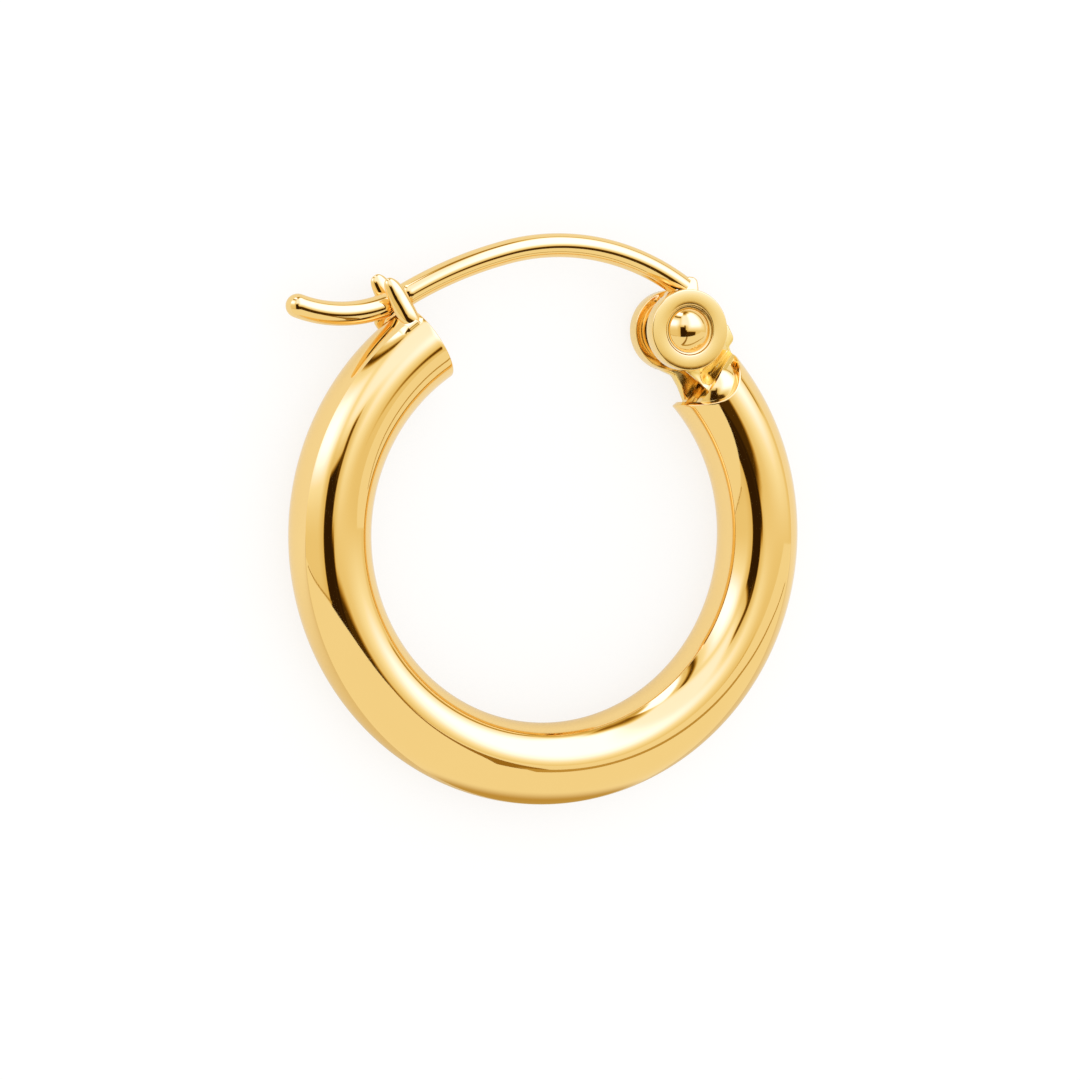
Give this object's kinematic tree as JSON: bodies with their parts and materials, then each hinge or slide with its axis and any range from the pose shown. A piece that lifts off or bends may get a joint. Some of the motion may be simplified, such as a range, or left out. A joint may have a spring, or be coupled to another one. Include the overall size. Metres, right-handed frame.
{
  "type": "tubular hoop earring",
  "caption": "Polished hollow-tube hoop earring lying on its side, with a riveted hinge, an arched ear wire and an upright catch that grips the wire.",
  "frame": {"origin": "below the middle of the part's box, on the surface it lies on", "axes": "+Z along the hoop's axis, towards the side shown; +Y from the bottom of the hoop to the ear wire; +X from the catch to the hinge"},
  "size_m": [0.02, 0.021, 0.003],
  "materials": {
    "hoop_gold": "mirror-polished yellow gold",
    "rivet_gold": "mirror-polished yellow gold",
    "wire_gold": "mirror-polished yellow gold"
  },
  "bodies": {
    "hoop": {"hoop_tube": "hoop_gold", "hinge_rivet": "rivet_gold"},
    "ear_wire": {"ear_wire": "wire_gold"}
  },
  "joints": [
    {"name": "ear_wire_hinge", "type": "hinge", "parent": "hoop", "child": "ear_wire", "pos_m": [0.00529, 0.00693, 0.0015], "axis": [0, 0, -1], "range_deg": [0, 52]}
  ]
}
